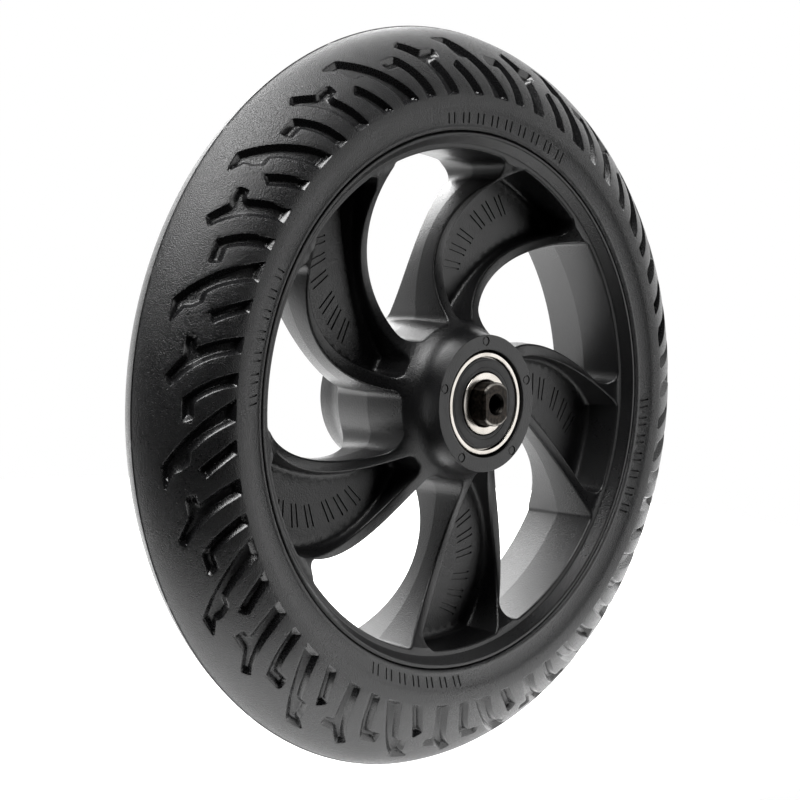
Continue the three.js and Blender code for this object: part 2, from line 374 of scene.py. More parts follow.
widest = 81.0  # radius of the widest circle, where the tread slots start
crown_power = 1.5  # superellipse power of the crown: 2 would be an ellipse
flash_height = 0.2  # mould line round the crest
flash_half = 0.15
seam_radius = 72.0  # where rubber meets rim
seam_half = 15.0
bore_rib = 3.0  # how far the rim's ring rib stands up into the tyre
band_inner = 73.5  # the slanted band that carries the side marks
band_outer = 76.95
band_inner_half = 15.4  # the band's half width at its two edges
band_outer_half = 16.2
mark_groups = ((-30, -2), (59, 97), (150, 178), (241, 269))  # degrees round the front
mark_spacing = 4.2  # degrees between pairs of marks, about
side_mark = (0.21, 1.45, 0.25 / 1.45)  # half width, half length and slope
side_mark_steps = ((0.05, 0.0), (-0.03, 0.4))  # its lip and floor as (outward offset, depth)
motif_angle = 24.0  # degrees between repeats of the tread
motif_start = 151.7  # degrees, where one flame slot starts
tread_scale = 1.58  # millimetres along the tread for a degree, half way up the slots
slot_depth = 1.65
slot_foot = 0.35  # how far above the widest circle a slot opens
slot_round = 0.45  # rounding of the slots' corners
row_step = 0.8  # degrees between points along the tread
row_height = 1.2  # millimetres between rows of them
turn_rows = round(360 / row_step)  # points round the whole tyre

# Section of the crown from the widest circle to the crest, as a table of distance along it.
crown_angles = np.linspace(math.pi / 2, 0, 2000)
crown_rise = tyre_radius - flash_height - widest
crown_r = widest + crown_rise * np.cos(crown_angles) ** (2 / crown_power)
crown_y = -tyre_half * np.sin(crown_angles) ** (2 / crown_power)
crown_s = np.concatenate([[0], np.cumsum(np.hypot(np.diff(crown_r), np.diff(crown_y)))])
crest = crown_s[-1]

# Slots of one motif as (degrees, millimetres up from the widest circle, bulge) nodes.
flame_slot = [
    (0.0, 0.0, 0.04), (10.2, 19.1, 0.02), (13.7, 18.65, 0.0), (11.2, 16.1, 0.0), (10.95, 14.2, 0.0),
    (9.9, 11.9, 0.0), (8.3, 11.7, -0.05), (3.9, 0.0, 0.0),
]
short_slot = [(6.9, 0.0, 0.015), (11.2, 10.6, 0.0), (12.6, 8.6, -0.02), (9.3, 0.0, 0.0)]
branched_slot = [
    (13.5, 0.0, 0.03), (16.3, 10.9, 0.0), (15.9, 11.5, 0.0), (14.8, 11.5, 0.0), (14.95, 13.9, 0.1),
    (15.7, 14.25, 0.0), (18.1, 14.2, 0.0), (21.3, 18.1, 0.0), (22.7, 16.5, -0.09), (16.5, 0.0, 0.0),
]
hooked_slot = [
    (19.6, 0.0, 0.06), (24.2, 13.6, 0.0), (27.6, 13.65, 0.0), (27.75, 12.9, 0.0),
    (27.2, 10.6, 0.0), (24.8, 10.6, -0.065), (21.95, 0.0, 0.0),
]
# Where one motif is cut from the next, in the same measure: it passes between the slots.
motif_cut = [(-1.0, 0.0), (0.5, 4.5), (1.7, 8.0), (4.0, 10.6), (5.1, 12.9), (6.6, 16.0), (7.0, 20.0)]
first_row = math.radians(motif_start + motif_cut[0][0])  # angle of the cut's foot
# A slot's worn lip, leaning wall and floor as (outward offset, depth).
slot_steps = [
    (0.2, 0.0), (0.11, 0.025), (0.03, 0.09), (-0.07, 0.21), (-0.2, 0.37), (-0.86, 1.22),
    (-1.0, 1.4), (-1.12, 1.53), (-1.27, 1.61), (-1.5, slot_depth),
]


def depth_inside(distance):
    """Depth of a slot at a distance in from its outline."""
    return np.interp(distance, [-d for d, _ in slot_steps], [depth for _, depth in slot_steps])


def crown_point(s):
    """Radius and y of the crown at a distance up from the widest circle."""
    return np.interp(s, crown_s, crown_r), np.interp(s, crown_s, crown_y)


def crown_normal(s):
    """Outward normal of the crown there, along the radius and along Y."""
    step = 0.01
    at = np.clip(s, 0, crest - step)
    (r, y), (r1, y1) = crown_point(at), crown_point(at + step)
    size = np.hypot(y1 - y, r - r1)
    return (y1 - y) / size, (r - r1) / size


def flash_depth(s):
    """How far the mould line stands out at the crest, as a negative depth."""
    return -flash_height * max(0.0, 1 - ((crest - s) / flash_half) ** 2)


def motif_edge():
    """The cut between two motifs with points close enough together for the relief."""
    corners = np.array(motif_cut + [(motif_cut[-1][0], crest)])
    edge = [corners[0]]
    for a, b in zip(corners, corners[1:]):
        count = math.ceil(norm((b - a) * [tread_scale, 1.0]) / row_height)
        edge += [a + (b - a) * i / count for i in range(1, count + 1)]
    return np.array(edge)


def slot_relief(relief, nodes):
    """Adds one slot to the relief and returns the outline of its lip."""
    whole = 0.25  # moved in by less than this, the outline stays whole and can be lines
    folded = 0.85  # beyond, a point nearer the outline than this share of its offset has folded over
    from_lip, from_rows = 0.3, 0.34  # the gaps that the floor's grid keeps
    raised = [(u * tread_scale, s + slot_foot * (s == 0), bulge) for u, s, bulge in nodes]
    loop = bulged_outline(raised, step=0.55, rounding=slot_round)
    sunk = []
    for distance, depth in slot_steps:
        row = offset(loop, distance)
        if distance > -whole:
            relief.line(row, depth)
            continue
        away = distance_to(row, loop.points)
        sunk.append(row[inside(row, loop.points) & (away > -folded * distance)])
    sunk = np.concatenate(sunk)
    grid = grid_inside(loop.points, spacing=0.5)
    grid = grid[distance_to(grid, loop.points) > from_lip]
    grid = grid[norm(grid[:, None] - sunk, axis=2).min(1) > from_rows]
    for points in (sunk, grid):
        relief.scatter(points, depth_inside(distance_to(points, loop.points)))
    return offset(loop, slot_steps[0][0])


def tread_motif():
    """One motif of the front half of the tread: vertices, triangles and how smooth it is."""
    relief = Relief()
    edge = motif_edge()
    columns = np.arange(0, motif_angle, row_step)[1:]
    across = columns[:, None] * np.array([[1.0, 0.0]])
    border = np.vstack([edge[0] + across, edge + [motif_angle, 0], (edge[-1] + across)[::-1], edge[::-1]])
    border = border * np.array([tread_scale, 1.0])
    relief.line(border, [flash_depth(s) for s in border[:, 1]])
    lips = [slot_relief(relief, nodes) for nodes in (flame_slot, short_slot, branched_slot, hooked_slot)]
    near_crest = crest - np.array([0.08, flash_half, 0.3, 0.6, 1.1, 1.8, 2.7, 3.8])
    rows = np.arange(row_height, near_crest[-1] - row_height / 2, row_height)
    for s in np.concatenate([rows, near_crest]):
        left = np.interp(s, edge[:, 1], edge[:, 0])
        row = np.array([[(left + column) * tread_scale, s] for column in columns])
        relief.scatter(row[clear_of(row, lips, gap=0.45)], flash_depth(s))
    points, depths, faces = relief.triangles(
        lambda centres: inside(centres, border) & (distance_to(centres, border) > 0.002))
    r, y = crown_point(points[:, 1])
    nr, ny = crown_normal(points[:, 1])
    on_crest = points[:, 1] > crest - 1e-4
    y[on_crest], ny[on_crest], nr[on_crest] = 0, 0, 1
    angle = np.radians(motif_start + points[:, 0] / tread_scale)
    radial = r - nr * depths
    side = y - ny * depths
    on_wall = np.clip(depths / 0.03, 0, 1) * np.clip((slot_depth - 0.05 - depths) / 0.15, 0, 1)
    return np.stack([radial * np.cos(angle), side, radial * np.sin(angle)], 1), faces, on_wall


def sidewall_rings():
    """Front sidewall from the widest circle in to the marked band, as (radius, y)."""
    return [
        (widest, -tyre_half), (80.2, -16.79), (79.3, -16.74), (78.5, -16.66), (77.9, -16.54),
        (77.4, -16.38), (band_outer, -band_half(band_outer)),
    ]


def bead_rings():
    """From the marked band over the small bead beside the rim and down the tyre's bore."""
    bead = [(band_inner, -band_half(band_inner)), (73.15, -15.5), (72.85, -15.55), (72.5, -15.48),
            (72.2, -15.3), (seam_radius, -14.9)]
    rib_top = seam_radius + bore_rib
    return bead + [(seam_radius, -11.8), (rib_top, -8.8), (rib_top, 0)]


def band_half(radius):
    """Half width of the tyre on the slanted band that carries the side marks."""
    share = (radius - band_inner) / (band_outer - band_inner)
    return band_inner_half + (band_outer_half - band_inner_half) * share


def marked_band():
    """The slanted band of the front sidewall, with pairs of slanted bars sunk into it."""
    relief = Relief()
    middle = (band_inner + band_outer) / 2
    sweep = np.linspace(0, TURN, turn_rows + 1) * middle
    for radius in np.linspace(band_inner, band_outer, 4):
        row = np.stack([sweep, np.full(turn_rows + 1, radius)], 1)
        if radius in (band_inner, band_outer):
            relief.line(row, 0.0, closed=False)
        else:
            relief.scatter(row[[0, -1]], 0.0)
    ends = np.array([[0.0, band_inner], [0.0, band_outer]])
    relief.line(ends, 0.0, closed=False)
    relief.line(ends + [TURN * middle, 0], 0.0, closed=False)
    for low, high in mark_groups:
        count = round((high - low) / mark_spacing)
        for i in range(2 * count):
            degrees = low + (high - low) * (i // 2 + 0.3 + 0.38 * (i % 2)) / count
            along = (math.radians(degrees) - first_row) % TURN * middle
            corners = [(along + x, middle + y, 0.0) for x, y in bar_corners(*side_mark)]
            mark = bulged_outline(corners, step=0.3, rounding=0.12)
            for distance, depth in side_mark_steps:
                relief.line(offset(mark, distance), depth)
    points, depths, faces = relief.triangles()
    angle = first_row + points[:, 0] / middle
    radius = points[:, 1]
    y = -band_half(radius) + depths
    return np.stack([radius * np.cos(angle), y, radius * np.sin(angle)], 1), faces


def make_tyre(look):
    tread = spun(tread_motif(), round(360 / motif_angle))
    rings = (sidewall_rings(), bead_rings())
    side = [*(turned(r, turn_rows, first_row, closed=False) for r in rings), marked_band()]
    parts = tread + [mirrored(p) for p in tread] + side + [mirrored(p) for p in side]
    build("tyre_treaded", parts, "wheel", look, ["tyre"])


# ---- Rim ----

spoke_count = 5
face_half = 12.35  # the flat ring outside the windows
window_radius = 67.25
root_radius = 21.3
wall_draft = 0.7  # how far a wall leans over the rim's half width
web_half = 1.0
dish_radius, dish_middle, dish_thin = 36.0, 44.0, 4.4
edge_round = 0.6
fillet = 2.0
boss_radius = 18.2
boss_top = 18.6  # half width where the boss starts to spread into the dish
inner_circle = 20.0
outer_circle = 68.2
circle_points = 240
chord_share = 0.99987  # of a circle's radius: just inside the middle of its chords
spread_end = 25.0  # radius where the boss's spread has become the dish
shoulder_radius = 12.4  # inner wall between the two bearings
boss_face_outer = 17.95
boss_face_inner = 14.8
pin_circle = 16.6  # on which the mould's pins have left their marks
pin_turn = 19.0  # degrees
pin_mark = ((1.3, 0.0), (1.25, 0.3), (0.98, 0.3), (0.93, 0.14))  # (radius, depth) from outside in
floor_mark_places = (161, 152, 143, 130, 120, 110)  # degrees round the leading wall's centre
floor_mark = (0.2, 3.1, 0.18)  # half width, half length and slope
floor_mark_steps = ((0.05, 0.0), (-0.02, 0.35))
lip_shares = (1.0, 0.6, 0.3, 0.1, 0.0)  # of edge_round, across a worn edge
face_rows = (21.4, 23.0, 25.0, 27.5, 30.5, 34.0, 38.0, 42.0, 46.0, 50.0, 54.0, 57.0, 60.0, 63.0, 65.2,
             66.6, 67.6)

leading_edge = Side(31.6 + 26.9j, 35.15, True)
leading_pocket_wall = Side(37.9 + 26.2j, 37.7, True)
trailing_pocket_wall = Side(48.2 - 6j, 50.0, False)
trailing_edge = Side(51.5 - 11.7j, 53.4, True)
rim_wall = Side(0j, window_radius, True)
hub_wall = Side(0j, root_radius, False)
pocket_hub_end = Side(0j, root_radius + 0.3, False)
next_edge = Side(leading_edge.centre * cmath.exp(-1j * TURN / spoke_count), leading_edge.radius, False)

window_outline = rounded_outline(
    [next_edge, rim_wall, trailing_edge, hub_wall],
    [(3.4, 64 + 6j), (2.0, 52 + 39j), (5.0, 17 + 21j), (2.4, 22 + 13j)])
pocket_outline = rounded_outline(
    [trailing_pocket_wall, rim_wall, leading_pocket_wall, pocket_hub_end],
    [(3.0, 43.5 + 47j), (1.5, 27 + 60j), (2.5, 3 + 24j), (2.0, 6 + 24j)])


def flare_curve():
    """The boss spreading into the dish, as a table of radius and half width."""
    a = np.array([boss_radius + 0.45, boss_top])
    b = np.array([spread_end, dish_height(spread_end)])
    a_pull, b_pull = a + [0.35, -4.6], b + [-3.4, 3.4 * 0.62]
    t = np.linspace(0, 1, 60)[:, None]
    return (1 - t) ** 3 * a + 3 * t * (1 - t) ** 2 * a_pull + 3 * t * t * (1 - t) * b_pull + t ** 3 * b


def dish_height(radius):
    """Half width of the spokes, which are thinnest in the middle, up to the flat outer ring."""
    away = np.clip(np.abs(radius - dish_middle), 0, dish_radius)
    return np.minimum(dish_thin + dish_radius - np.sqrt(dish_radius ** 2 - away ** 2), face_half)


def top_height(points):
    """Half width of the rim's face over points of the plane, before any edge is rounded."""
    radius = norm(points, axis=1)
    table = flare_curve()
    near_hub = np.interp(radius, table[:, 0], table[:, 1])
    return np.where(radius < table[-1, 0], near_hub, dish_height(radius))


def round_off(radius, distance):
    """How far a quarter round still is from flat, at a distance in from the wall it starts at."""
    return radius - np.sqrt(radius ** 2 - (radius - np.minimum(distance, radius)) ** 2)


def turned_loop(loop, angle):
    """The loop turned about the wheel's axis."""
    c, s = math.cos(angle), math.sin(angle)
    turn = np.array([[c, s], [-s, c]])
    return Loop(loop.points @ turn, loop.normals @ turn)


def floor_marks():
    """Outlines of slanted bars on a pocket's floor, in pairs that follow the spoke."""
    marks = []
    for i, degrees in enumerate(floor_mark_places):
        radius = 30.5 - 0.55 * i
        for pair in (-0.85, 0.85):
            nodes = []
            for across, along in bar_corners(*floor_mark):
                turn = math.radians(degrees) + (pair + across) / radius
                at = leading_pocket_wall.centre + cmath.rect(radius + along, turn)
                nodes.append((at.real, at.imag, 0.0))
            marks.append(bulged_outline(nodes, step=0.3, rounding=0.1))
    return marks


def rim_face():
    """The rim's front between the hub and the outer face: ribs, sunk pockets and window walls."""
    relief = Relief()
    ring = circle(circle_points)
    for radius in (inner_circle, outer_circle):
        relief.line(ring * radius, top_height(ring * radius))
    windows = []
    pockets = []
    lips = []
    floor_top = web_half + fillet
    for k in range(spoke_count):
        angle = TURN * k / spoke_count
        for outline, wall_foot in ((window_outline, 0.0), (pocket_outline, floor_top)):
            loop = turned_loop(outline, angle)
            for share in lip_shares:
                at = offset(loop, share * edge_round)
                relief.line(at, top_height(at) - round_off(edge_round, share * edge_round))
            lean = wall_draft * (top_height(loop.points) - wall_foot) / face_half
            foot = Loop(offset(loop, -lean), loop.normals)
            relief.line(foot.points, wall_foot)
            lips.append(offset(loop, edge_round))
            if wall_foot:
                pockets.append((foot, angle))
            else:
                windows.append(foot.points)
    for foot, angle in pockets:
        fill_pocket(relief, foot, angle)
    for radius in face_rows:
        row = radius * circle(max(60, round(TURN * radius / 1.8)))
        row = row[clear_of(row, lips, gap=0.35)]
        relief.scatter(row, top_height(row))

    def keep(centres):
        radius = norm(centres, axis=1)
        stay = (radius > inner_circle * chord_share) & (radius < outer_circle)
        for foot in windows:
            stay &= ~inside(centres, foot)
        return stay

    points, heights, faces = relief.triangles(keep)
    return np.stack([points[:, 0], -heights, points[:, 1]], 1), faces


def fill_pocket(relief, foot, angle):
    """Floor points of one pocket: a fillet all round, then the flat web with its sunk marks."""
    marks = []
    for mark in floor_marks():
        mark = turned_loop(mark, angle)
        lip = offset(mark, floor_mark_steps[0][0])
        level = web_half + round_off(fillet, distance_to(lip, foot.points))
        for distance, depth in floor_mark_steps:
            relief.line(offset(mark, distance), level - depth)
        marks.append(offset(mark, 0.25))

    def off_marks(points):
        return ~np.any([inside(points, mark) for mark in marks], axis=0)

    for distance in (0.15, 0.4, 0.75, 1.2, 1.8, fillet):
        row = offset(foot, -distance)
        row = row[::2] if distance > 1 else row
        away = distance_to(row, foot.points)
        clear = inside(row, foot.points) & (away > distance * 0.7) & off_marks(row)
        relief.scatter(row[clear], web_half + round_off(fillet, away[clear]))
    grid = grid_inside(foot.points, spacing=1.3)
    clear = (distance_to(grid, foot.points) > fillet + 0.4) & off_marks(grid)
    relief.scatter(grid[clear], web_half)


def rim_outer_profile():
    """From the relief's outer circle over the lip and down the tyre seat to the middle plane."""
    seat = seam_radius - 0.1
    return soften(
        [(outer_circle, -face_half), (68.7, -face_half), (70.7, -seam_half), (71.5, -seam_half),
         (seat, -14.4), (seat, -11.5), (seat + bore_rib, -8.5), (seat + bore_rib, 0)],
        [0, 1.2, 0.6, 0.4, 0.1, 0, 0, 0], 5)


def rim_inner_profile():
    """From the relief's inner circle up the boss to the edge of its face."""
    table = [(r, -h) for r, h in flare_curve() if r < inner_circle - 0.02][::-1]
    start = (inner_circle, -float(top_height(np.array([[inner_circle, 0.0]]))[0]))
    corner = soften(
        [(boss_radius + 0.45, -boss_top), (boss_radius, -hub_half), (boss_face_outer, -hub_half)],
        [0, 0.35, 0], 4)
    return [start] + table + corner[1:]


def rim_bore_profile():
    """From the inner edge of the boss's face down the bearing seat to the middle plane."""
    seat = ring_radius + contact_gap
    return soften(
        [(boss_face_inner, -hub_half), (seat, -hub_half), (seat, -spacer_half),
         (shoulder_radius, -spacer_half), (shoulder_radius, 0)],
        [0, 0.15, 0.3, 0.3, 0], 3)


def boss_face():
    """The flat end of the boss, with five shallow round marks left by the mould's pins."""
    relief = Relief()
    ring = circle(circle_points)
    relief.line(ring * boss_face_outer, 0.0)
    relief.line(ring * boss_face_inner, 0.0)
    relief.scatter(ring[::2] * (boss_face_inner + 0.4), 0.0)
    for k in range(spoke_count):
        turn = math.radians(pin_turn) + TURN * k / spoke_count
        middle = pin_circle * np.array([math.cos(turn), math.sin(turn)])
        for radius, depth in pin_mark:
            relief.line(middle + circle(28) * radius, depth)
    points, depths, faces = relief.triangles(
        lambda centres: norm(centres, axis=1) > boss_face_inner * chord_share)
    return np.stack([points[:, 0], -hub_half + depths, points[:, 1]], 1), faces


def make_rim(look):
    profiles = (rim_outer_profile(), rim_inner_profile(), rim_bore_profile())
    half = [rim_face(), *(turned(p, circle_points, closed=False) for p in profiles), boss_face()]
    parts = half + [mirrored(p) for p in half]

    def on_parting(edge):
        return all(abs(v.co.y) < 1e-6 for v in edge.verts)

    build("rim_spoked", parts, "wheel", look, ["rim"], ridge=on_parting)


# ---- Bearings and spacer ----

bearing_face = -cad("front_outer_ring")[0].y
bearing_back = -cad("front_outer_ring")[1].y
bearing_middle = (bearing_face + bearing_back) / 2
bearing_half = (bearing_face - bearing_back) / 2
pitch_radius = 10.0
track_radius = 2.45  # section of the groove the balls run in
outer_land = 11.8  # radius of the outer ring beside its ball track
land_half = 2.0  # where the lands turn towards the ball track, from the bearing's middle
seal_seat = 12.4  # radius that the seal snaps into
seal_front = 3.75  # its faces and its seat's end, from the bearing's middle
seal_back = 3.05
seat_end = 2.95
round_points = 144
ball_count = 8
ends = {"front": -1, "rear": 1}  # which way along Y each bearing faces


def ring_section(front, land, way):
    """A ring's section: its front, a ball track cut into its land, and the front mirrored. way is 1
    for a track outside the balls and -1 for one inside."""
    reach = math.asin((land - pitch_radius) * way / track_radius)
    half = math.pi / 2 - reach
    turns = np.linspace(-half, half, 13)
    track = [(pitch_radius + way * track_radius * math.cos(t), track_radius * math.sin(t)) for t in turns]
    return front + track + [(r, -y) for r, y in reversed(front)]


def outer_ring_profile():
    face = -bearing_half
    front = soften(
        [(ring_radius, -land_half), (ring_radius, face + 0.95), (ring_radius - 0.5, face),
         (seal_seat + 0.1, face), (seal_seat + 0.02, -seal_front),
         (seal_seat, -seat_end), (outer_land, -seat_end + 0.05), (outer_land, -land_half)],
        [0, 0.3, 0.15, 0.1, 0, 0.08, 0.15, 0], 4)
    return ring_section(front, outer_land, 1)


def inner_ring_profile():
    face, bore = -bearing_half, axle_radius + contact_gap
    front = soften(
        [(bore, -land_half), (bore, face), (inner_ring_radius, face), (inner_ring_radius, -land_half)],
        [0, 0.4, 0.18, 0], 5)
    return ring_section(front, inner_ring_radius, -1)


def seal_profile():
    """Rubber-faced seal: a rim bead, a shallow groove and a lip beside the inner ring."""
    front, back = -seal_front, -seal_back
    return soften(
        [(seal_inner, back), (seal_inner, front + 0.06), (seal_inner + 0.62, front + 0.02),
         (seal_inner + 0.72, front + 0.08), (seal_inner + 1.0, front + 0.08), (seal_inner + 1.1, front),
         (seal_outer - 0.75, front), (seal_outer - 0.6, front + 0.1), (seal_outer - 0.3, front + 0.1),
         (seal_outer - 0.04, front + 0.1), (seal_outer - 0.04, back)],
        [0.05, 0.12, 0.05, 0.04, 0.04, 0.05, 0.08, 0.08, 0.08, 0.06, 0.05], 3)


def make_bearings(steel, seal, spacer):
    for end, way in ends.items():
        for name, node, profile, flip, body, slot, look in (
                ("outer_race", "outer_ring", outer_ring_profile(), 1, "wheel", "bearing_steel", steel),
                ("inner_race", "inner_ring", inner_ring_profile(), 1, "axle", "bearing_steel", steel),
                ("shield_outside", "outer_seal", seal_profile(), 1, "wheel", "seal_rubber", seal),
                ("shield_inside", "inner_seal", seal_profile(), -1, "wheel", "seal_rubber", seal)):
            section = [(r, way * (bearing_middle - flip * y)) for r, y in profile]
            build(f"{end}_{name}", [turned(section, round_points)], body, look, [f"{end}_{node}"])
    bore, outside = axle_radius + contact_gap, inner_ring_radius - 0.25
    wall = soften(
        [(bore, -spacer_half), (outside, -spacer_half), (outside, spacer_half), (bore, spacer_half)],
        [0.1, 0.35, 0.35, 0.1], 4)
    build("sleeve_between_bearings", [turned(wall, round_points)], "axle", spacer,
          ["bearing_spacer"])


# ---- Axle ----

flat_half, flat_start = 4.4, 22.3  # the flats, and how far out they start
relief_half, relief_start = 4.3, 19.6  # inside the bearing they are a touch deeper
axle_chamfer = 0.4
hole_radius, hole_depth = 2.5, 16.0
thread_pitch, thread_depth = 1.0, 0.35
thread_runout = 3.0  # plain stretch at the bottom of the hole
drill_point = 1.2
sudden = 0.01  # length of a step from one section to the next


def axle_section(half, y, shrink=0.0):
    """One closed cross-section: a circle whose sides are cut flat at plus and minus half."""
    radius = axle_radius - shrink
    corner = math.asin(flat_half / axle_radius)
    arc = np.linspace(-corner, corner, 25)
    side = np.linspace(corner, math.pi - corner, 13)[1:-1]
    turns = np.concatenate([arc, side, arc + math.pi, side + math.pi])
    x = np.clip(radius * np.sin(turns), -(half - shrink), half - shrink)
    return np.stack([x, np.full(len(turns), y), radius * np.cos(turns)], 1)


def make_axle(look):
    end = axle_half
    sections = [axle_section(*section) for section in (
        (axle_radius, 0.0), (axle_radius, -relief_start),
        (relief_half, -relief_start - sudden), (relief_half, -flat_start),
        (flat_half, -flat_start - sudden), (flat_half, -end + axle_chamfer),
        (flat_half, -end + 0.08, axle_chamfer * 0.8), (flat_half, -end, axle_chamfer))]
    turns = np.arctan2(sections[-1][:, 0], sections[-1][:, 2])
    count = len(turns)

    def round_section(radius, y):
        return np.stack([radius * np.sin(turns), np.full(count, y), radius * np.cos(turns)], 1)

    mouth = hole_radius + thread_depth + 0.05
    sections += [round_section(mouth, -end), round_section(hole_radius + 0.05, -end + 0.6)]
    bottom = hole_depth - end
    for y in np.arange(-end + 0.7, bottom - thread_runout, thread_pitch / 8):
        phase = (y / thread_pitch - turns / TURN) % 1.0
        sections.append(round_section(hole_radius + thread_depth * (1 - np.abs(2 * phase - 1)) * 0.8, y))
    sections += [
        round_section(hole_radius, bottom - thread_runout + 0.4),
        round_section(hole_radius, bottom),
        round_section(0.02, bottom + drill_point),
    ]
    vertices, faces = stacked(sections)
    last = (len(sections) - 1) * count
    faces += [(last + i, last + (i + 1) % count, len(vertices)) for i in range(count)]
    half = (np.concatenate([vertices, [[0.0, bottom + drill_point, 0.0]]]), faces)
    build("axle_shaft", [half, mirrored(half)], "axle", look, ["axle"], sharp=25.0)


# ---- Materials ----


class Look:
    """A procedural material in the making: its nodes read the object's own coordinates, in metres."""

    def __init__(self, name, colour, rough, metal=0.0, specular=0.5):
        self.material = bpy.data.materials.new(name)
        self.material.use_nodes = True
        self.tree = self.material.node_tree
        self.shader = self.tree.nodes["Principled BSDF"]
        self.preset({"Base Color": (*colour, 1), "Roughness": rough, "Metallic": metal,
                     "Specular IOR Level": specular})
        self.place = self.tree.nodes.new("ShaderNodeTexCoord").outputs["Object"]

    def preset(self, values):
        """Plain values for the shader's own inputs."""
        for name, value in values.items():
            self.shader.inputs[name].default_value = value

    def add(self, kind, settings=(), **inputs):
        """A node with settings on it and inputs given as values or as other nodes' outputs."""
        node = self.tree.nodes.new(kind)
        for key, value in dict(settings).items():
            setattr(node, key, value)
        for key, value in inputs.items():
            socket = node.inputs[int(key[1:]) if key[0] == "_" else key.replace("_", " ")]
            if isinstance(value, bpy.types.NodeSocket):
                self.tree.links.new(value, socket)
            else:
                socket.default_value = value
        return node.outputs

    def noise(self, per_metre, detail=3.0, rough=0.55, place=None):
        return self.add("ShaderNodeTexNoise", Vector=place or self.place, Scale=per_metre,
                        Detail=detail, Roughness=rough)["Fac"]

    def remap(self, value, to_low, to_high, low=0.3, high=0.7):
        """A value, mostly a noise, spread smoothly over a new range."""
        return self.add("ShaderNodeMapRange", {"interpolation_type": "SMOOTHSTEP"}, Value=value,
                        From_Min=low, From_Max=high, To_Min=to_low, To_Max=to_high)["Result"]

    def maths(self, operation, a, b=0.0):
        return self.add("ShaderNodeMath", {"operation": operation}, _0=a, _1=b)["Value"]

    def blend(self, share, first, second):
        """A mix of two colours, each given as three numbers or as another node's output."""
        a, b = ((*c, 1) if isinstance(c, tuple) else c for c in (first, second))
        return self.add("ShaderNodeMix", {"data_type": "RGBA"}, _0=share, _6=a, _7=b)[2]

    def along(self):
        """Distance along the wheel's axis, from the middle plane."""
        return self.add("ShaderNodeSeparateXYZ", Vector=self.place)["Y"]

    def radius(self):
        """Distance from the wheel's axis."""
        flat = self.add("ShaderNodeVectorMath", {"operation": "MULTIPLY"}, _0=self.place,
                        _1=(1, 0, 1))["Vector"]
        return self.add("ShaderNodeVectorMath", {"operation": "LENGTH"}, _0=flat)["Value"]

    def lines(self, measure, per_metre):
        """Noise that changes with one measure only, which draws parallel lines or rings."""
        spread = self.maths("MULTIPLY", measure, per_metre)
        return self.noise(1.0, 2.0, place=self.add("ShaderNodeCombineXYZ", X=spread)["Vector"])

    def bump(self, height, millimetres, below=None):
        """The normal of a rough surface, over another normal if there is one below."""
        inputs = {"Height": height, "Distance": millimetres * MM}
        if below is not None:
            inputs["Normal"] = below
        return self.add("ShaderNodeBump", **inputs)["Normal"]

    def glow(self, strength):
        self.preset({"Emission Color": (1, 1, 1, 1), "Emission Strength": strength})

    def into(self, **sockets):
        """Links outputs into the shader and hands over the finished material."""
        for key, value in sockets.items():
            self.tree.links.new(value, self.shader.inputs[key.replace("_", " ")])
        return self.material


def tyre_rubber():
    """Black rubber: grained by the mould, smoother inside the tread's slots."""
    look = Look("tyre_rubber", (0.013, 0.013, 0.014), 0.4, specular=0.6)
    smooth = look.add("ShaderNodeAttribute", {"attribute_name": "smoothness"})["Fac"]
    grained = look.maths("SUBTRACT", 1.0, look.maths("MULTIPLY", smooth, 0.85))
    grain = look.noise(3100, 2.0, 0.6)
    patches = look.noise(45, 4.0, 0.6)
    bloom = look.remap(patches, 0.0, 1.0, 0.3, 0.75)
    colour = look.blend(bloom, (0.005, 0.005, 0.0055), (0.009, 0.009, 0.0095))
    speck = look.remap(look.noise(4000, 1.0, 0.5), 0.0, 1.0, 0.55, 0.75)
    colour = look.blend(speck, colour, (0.03, 0.03, 0.031))
    colour = look.blend(look.maths("MULTIPLY", smooth, 0.7), colour, (0.008, 0.008, 0.0085))
    rough = look.maths("ADD", look.remap(patches, 0.3, 0.38), look.remap(grain, -0.08, 0.08))
    rough = look.maths("SUBTRACT", rough, look.maths("MULTIPLY", smooth, 0.1))
    fine = look.bump(look.maths("MULTIPLY", grain, grained), 0.19)
    normal = look.bump(look.noise(220, 2.0), 0.02, fine)
    return look.into(Base_Color=colour, Roughness=rough, Normal=normal)


def rim_nylon():
    """Glass-filled nylon: satin black from a finely eroded mould, with faint flow patches."""
    look = Look("rim_nylon", (0.015, 0.015, 0.016), 0.4, specular=0.47)
    grain = look.noise(2600, 2.0, 0.6)
    flow = look.noise(28, 4.0, 0.6)
    share = look.remap(flow, 0.0, 1.0)
    colour = look.blend(share, (0.005, 0.005, 0.0054), (0.008, 0.008, 0.0085))
    rough = look.maths("ADD", look.remap(flow, 0.29, 0.36), look.remap(grain, -0.04, 0.06))
    fine = look.bump(grain, 0.08)
    normal = look.bump(look.noise(160, 2.0), 0.03, fine)
    return look.into(Base_Color=colour, Roughness=rough, Normal=normal)


def ground_steel():
    """Bearing steel with the fine rings that grinding leaves."""
    look = Look("ground_steel", (0.62, 0.6, 0.57), 0.28, 1.0)
    rings = look.lines(look.radius(), 9000.0)
    stain = look.remap(look.noise(240), 0.0, 1.0, 0.35, 0.75)
    colour = look.blend(stain, (0.58, 0.55, 0.51), (0.46, 0.43, 0.39))
    rough = look.remap(rings, 0.2, 0.34)
    return look.into(Base_Color=colour, Roughness=rough, Normal=look.bump(rings, 0.006))


